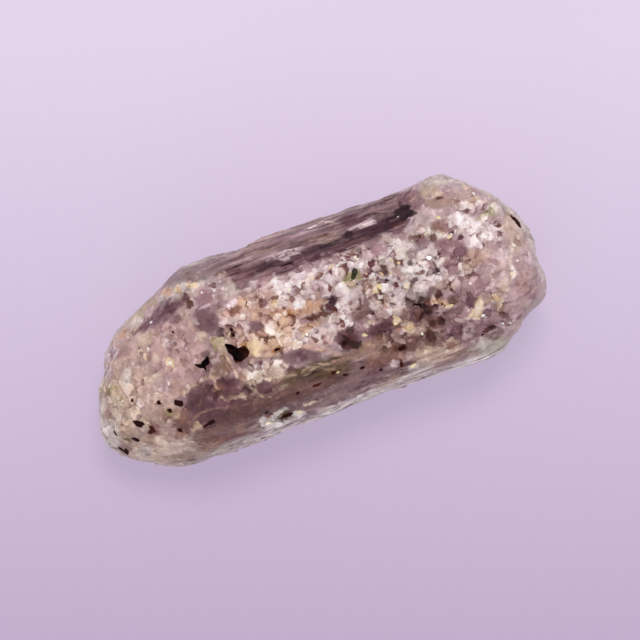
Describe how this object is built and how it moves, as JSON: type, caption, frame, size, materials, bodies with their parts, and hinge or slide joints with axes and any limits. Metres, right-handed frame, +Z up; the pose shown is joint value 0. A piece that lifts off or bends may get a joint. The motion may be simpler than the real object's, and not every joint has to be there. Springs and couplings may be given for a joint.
{
  "type": "rough scapolite crystal",
  "caption": "Stubby worn scapolite prism, mottled lilac-grey with sugary pale grains, that lies on one of its prism faces.",
  "frame": {"origin": "on the flat resting face, under the middle of the stone's box", "axes": "+X along the prism from the narrow tapered end to the blunt end, +Y across it towards the streaky upper prism face, +Z up out of the broad sugary face"},
  "size_m": [0.035, 0.0142, 0.0124],
  "materials": {
    "lilac_grey_scapolite": "rough crystal, waxy to sugary, translucent at thin edges",
    "sugary_crystal_grains": "small broken crystal grains with glassy faces",
    "dark_mica_inclusions": "dark glossy flakes",
    "brassy_grains": "small bright golden-brown grains",
    "green_grains": "small dull olive-green grains"
  },
  "bodies": {
    "root": {"scapolite_crystal": "lilac_grey_scapolite"}
  },
  "joints": []
}
